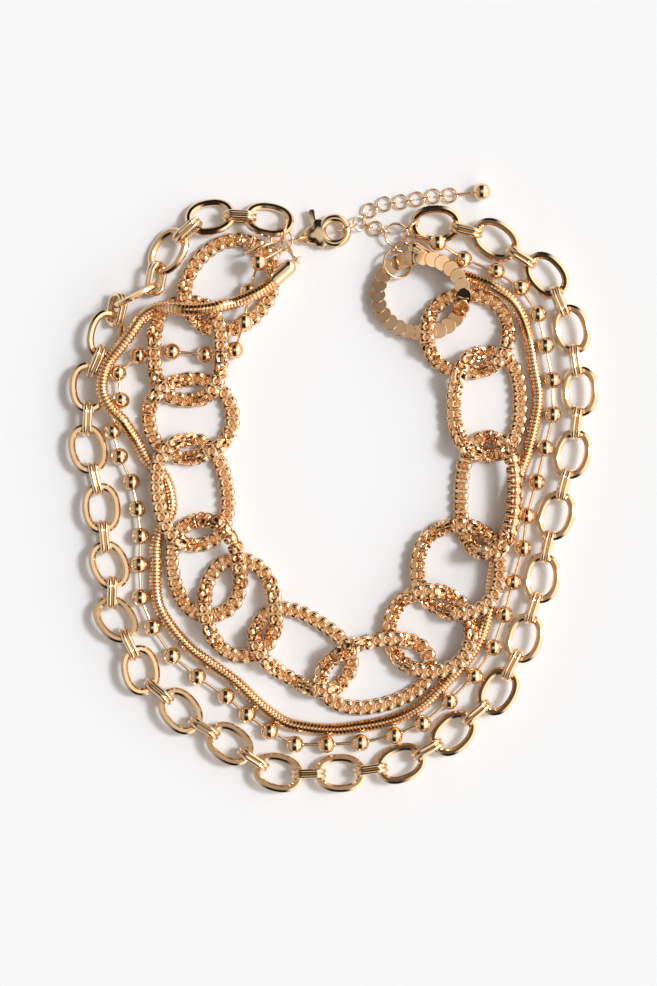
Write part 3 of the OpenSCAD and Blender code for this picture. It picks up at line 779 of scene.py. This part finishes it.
@dataclass
class Clasp:
    """The lobster clasp: a round hook, a domed shank, an eye and the lever with its thumb tab.

    Its own frame has X from the eye to the hook and Z up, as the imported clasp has.
    """

    tip: tuple[float, float, float] = (-10.2, 82.5, 1.15)
    turn: float = 10.7
    thickness: float = 3.2 * MM
    hook_middle: tuple[float, float] = (12.2 * MM, 0.5 * MM)
    hook_outer: float = 5.68 * MM
    hook_wire: float = 2.9 * MM
    hook_height_share: float = 0.94
    bore_share: float = 0.85
    shank_middle: tuple[float, float] = (6.7 * MM, 0.5 * MM)
    shank_half: tuple[float, float] = (5.4 * MM, 5.1 * MM)
    neck_from: float = -0.25
    neck_share: float = 0.66
    eye_middle: tuple[float, float] = (2.1 * MM, 0.0)
    eye_outer: float = 1.95 * MM
    eye_wire: float = 0.7 * MM
    lever_round: float = 0.3 * MM
    lever_segments: int = 2
    lever_flat: float = 3
    lever_edge: float = 50
    round_sides: int = 48
    wire_sides: int = 14
    dome_sides: int = 32
    dome_rings: int = 20
    smooth_angle: float = 40

    def place(self, piece: bpy.types.Object) -> bpy.types.Object:
        """Moves a piece from the clasp's own frame to where the clasp lies, and returns it."""
        piece.rotation_euler = (0, 0, math.radians(self.turn))
        piece.location = laid(*self.tip)
        return Bench.settle(piece)

    def ring(self, middle: Sequence[float], outer: float, wire: float, height: float) -> bpy.types.Object:
        """Makes a flat round ring.

        Args:
            middle: Its middle in the clasp's frame.
            outer: Its outer radius.
            wire: The width of its section.
            height: The height of its section.

        Returns:
            The ring, half way up the clasp.
        """
        bpy.ops.object.select_all(action="DESELECT")
        bpy.ops.mesh.primitive_torus_add(
            major_segments=self.round_sides,
            minor_segments=self.wire_sides,
            major_radius=outer - wire / 2,
            minor_radius=wire / 2,
        )
        ring = bpy.context.object
        ring.scale.z = height / wire
        ring.location = (*middle, self.thickness / 2)
        return Bench.settle(ring)

    def shank(self) -> bpy.types.Object:
        """Makes the domed shank, which narrows towards the eye.

        Returns:
            The shank.
        """
        bpy.ops.object.select_all(action="DESELECT")
        bpy.ops.mesh.primitive_uv_sphere_add(segments=self.dome_sides, ring_count=self.dome_rings, radius=1)
        shank = bpy.context.object
        Bench.pick(shank, lambda place, normal: place.x < self.neck_from)
        bpy.ops.transform.resize(value=(1, self.neck_share, 1), center_override=(0, 0, 0))
        Bench.put_down()
        shank.scale = (*self.shank_half, self.thickness / 2)
        shank.location = (*self.shank_middle, self.thickness / 2)
        Bench.settle(shank)
        radius = self.hook_outer - self.hook_wire * self.bore_share
        middle = Vector((*self.hook_middle, self.thickness / 2))
        bore = Bench.cylinder(radius, 2 * self.thickness, self.round_sides, middle, Vector())
        Bench.take(shank)
        bpy.ops.object.modifier_add(type="BOOLEAN")
        cut = shank.modifiers[-1]
        cut.operation = "DIFFERENCE"
        cut.object = bore
        bpy.ops.object.modifier_apply(modifier=cut.name)
        bpy.data.objects.remove(bore)
        return shank

    def lever(self, node: bpy.types.Object) -> bpy.types.Object:
        """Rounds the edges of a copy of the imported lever.

        Args:
            node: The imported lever.

        Returns:
            The new lever.
        """
        lever = Bench.copy(node, "clasp_thumb_lever")
        lever.parent = None
        Bench.settle(lever)
        bpy.ops.object.mode_set(mode="EDIT")
        bpy.ops.mesh.select_all(action="SELECT")
        bpy.ops.mesh.remove_doubles(threshold=WELD)
        bpy.ops.mesh.dissolve_limited(angle_limit=math.radians(self.lever_flat))
        Bench.put_down()
        bpy.ops.object.modifier_add(type="BEVEL")
        edge = lever.modifiers[-1]
        edge.width = self.lever_round
        edge.segments = self.lever_segments
        edge.limit_method = "ANGLE"
        edge.angle_limit = math.radians(self.lever_edge)
        bpy.ops.object.modifier_apply(modifier=edge.name)
        Bench.smooth(lever, self.smooth_angle)
        return lever

    def build(self, nodes: dict[str, bpy.types.Object], metals: dict[Slot, bpy.types.Material]) -> None:
        """Makes the body and the lever.

        Args:
            nodes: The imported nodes.
            metals: The finish of each slot.
        """
        hook_height = self.thickness * self.hook_height_share
        hook = self.ring(self.hook_middle, self.hook_outer, self.hook_wire, hook_height)
        eye = self.ring(self.eye_middle, self.eye_outer, self.eye_wire, self.eye_wire)
        body = self.place(Bench.join(hook, self.shank(), eye))
        body.name = "clasp_shell"
        Bench.smooth(body, self.smooth_angle)
        dress(body, Body.NECKLACE, metals[Slot.GOLD], "clasp_body")
        lever = self.lever(nodes["clasp_lever"])
        dress(lever, Body.LEVER, metals[Slot.PALE_GOLD], "clasp_lever")


@dataclass
class Studio:
    """The pale floor, the soft light from the right and the camera straight above.

    Each side of the room that glows has where its glow starts, where it is full, and how strong it is.
    """

    photo_height: float = 986
    pixels_per_mm: float = 3.0
    view_middle: tuple[float, float] = (-1.413 * MM, -1.657 * MM)
    camera_height: float = 1.1
    clip_start: float = 0.01
    focus_z: float = 3 * MM
    floor_size: float = 4.0
    floor_tone: tuple[float, float, float] = (0.908, 0.911, 0.928)
    floor_roughness: float = 0.8
    floor_sheen: float = 0.1
    sun_elevation: float = 50.0
    sun_heading: float = 12.0
    sun_strength: float = 1.95
    sun_softness: float = 14.0
    sun_tone: tuple[float, float, float] = (0.91, 0.96, 1.0)
    room_tone: tuple[float, float, float] = (1.0, 0.945, 0.88)
    dimmest: float = 0.02
    overhead: tuple[float, float, float] = (0.90, 0.985, 0.72)
    right: tuple[float, float, float] = (0.16, 0.50, 1.45)
    left: tuple[float, float, float] = (0.30, 0.75, 0.5)

    def floor(self) -> None:
        """Lays the floor."""
        bpy.ops.object.select_all(action="DESELECT")
        bpy.ops.mesh.primitive_plane_add(size=self.floor_size)
        floor = bpy.context.object
        floor.name = "floor"
        paint = bpy.data.materials.new("floor_paint")
        paint.use_nodes = True
        shader = paint.node_tree.nodes["Principled BSDF"]
        shader.inputs["Base Color"].default_value = (*self.floor_tone, 1)
        shader.inputs["Roughness"].default_value = self.floor_roughness
        shader.inputs["Specular IOR Level"].default_value = self.floor_sheen
        floor.data.materials.append(paint)

    def sun(self) -> None:
        """Sets the soft key light, which throws each shadow to the left."""
        tilt = math.radians(90 - self.sun_elevation)
        bpy.ops.object.light_add(type="SUN", rotation=(0, tilt, math.radians(self.sun_heading)))
        lamp = bpy.context.object.data
        lamp.energy = self.sun_strength
        lamp.angle = math.radians(self.sun_softness)
        lamp.color = self.sun_tone

    def room(self) -> None:
        """Gives the polished metal a room to reflect: white above and right, dark low down."""
        world = bpy.data.worlds.new("studio")
        world.use_nodes = True
        bpy.context.scene.world = world
        graph = Graph(world.node_tree)
        way = graph.node("ShaderNodeTexCoord", {}, {}, "Generated")
        split = graph.node("ShaderNodeSeparateXYZ", {}, {0: way}).socket.node
        x, z = Sock(graph, split.outputs[0]), Sock(graph, split.outputs[2])
        overhead = z.between(*self.overhead[:2])
        right = x.between(*self.right[:2])
        left = (0.0 - x).between(*self.left[:2])
        glow = self.dimmest + self.overhead[2] * overhead + self.right[2] * right
        glow = glow + self.left[2] * left * (1 - overhead)
        back = world.node_tree.nodes["Background"]
        back.inputs["Color"].default_value = (*self.room_tone, 1)
        graph.feed(back.inputs["Strength"], glow)

    def camera(self) -> None:
        """Sets the camera straight above, with the top of the picture towards the clasp."""
        place = (*self.view_middle, self.camera_height + self.focus_z)
        bpy.ops.object.camera_add(location=place, rotation=(0, 0, 0))
        camera = bpy.context.object
        covered = self.photo_height / self.pixels_per_mm * MM
        camera.data.lens = camera.data.sensor_width * self.camera_height / covered
        camera.data.clip_start = self.clip_start
        bpy.context.scene.camera = camera

    def build(self) -> None:
        """Sets up the whole studio."""
        self.floor()
        self.sun()
        self.room()
        self.camera()
        bpy.context.scene.view_settings.view_transform = "Standard"


def dress(piece: bpy.types.Object, body: Body, metal: bpy.types.Material, node: str) -> None:
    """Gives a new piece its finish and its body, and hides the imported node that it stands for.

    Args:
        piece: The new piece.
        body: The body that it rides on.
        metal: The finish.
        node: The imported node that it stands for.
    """
    piece.data.materials.clear()
    piece.data.materials.append(metal)
    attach(piece, body.value)
    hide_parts(node)
    LOG.info("%s: %d faces on %s", piece.name, len(piece.data.polygons), body.value)


def plate_nodes(frame: dict, metals: dict[Slot, bpy.types.Material]) -> None:
    """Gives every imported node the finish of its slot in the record.

    Args:
        metals: The finish of each slot.
    """
    for part in frame["record"]["subparts"]:
        node = frame["nodes"][part["node"]]
        for place in node.material_slots:
            place.material = metals[Slot(part["material_slot"])]


def main() -> None:
    """Builds the necklace and its studio in order."""
    logging.basicConfig(level=logging.INFO, format="%(name)s: %(message)s")
    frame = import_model()
    metals = {plating.slot: plating.make() for plating in PLATINGS}
    plate_nodes(frame, metals)
    RingStrand().build(metals[Slot.ROSE_GOLD])
    SnakeStrand().build(metals[Slot.GOLD])
    LinkStrand().build(metals[Slot.GOLD])
    Clasp().build(frame["nodes"], metals)
    Studio().build()


if __name__ == "__main__":
    main()
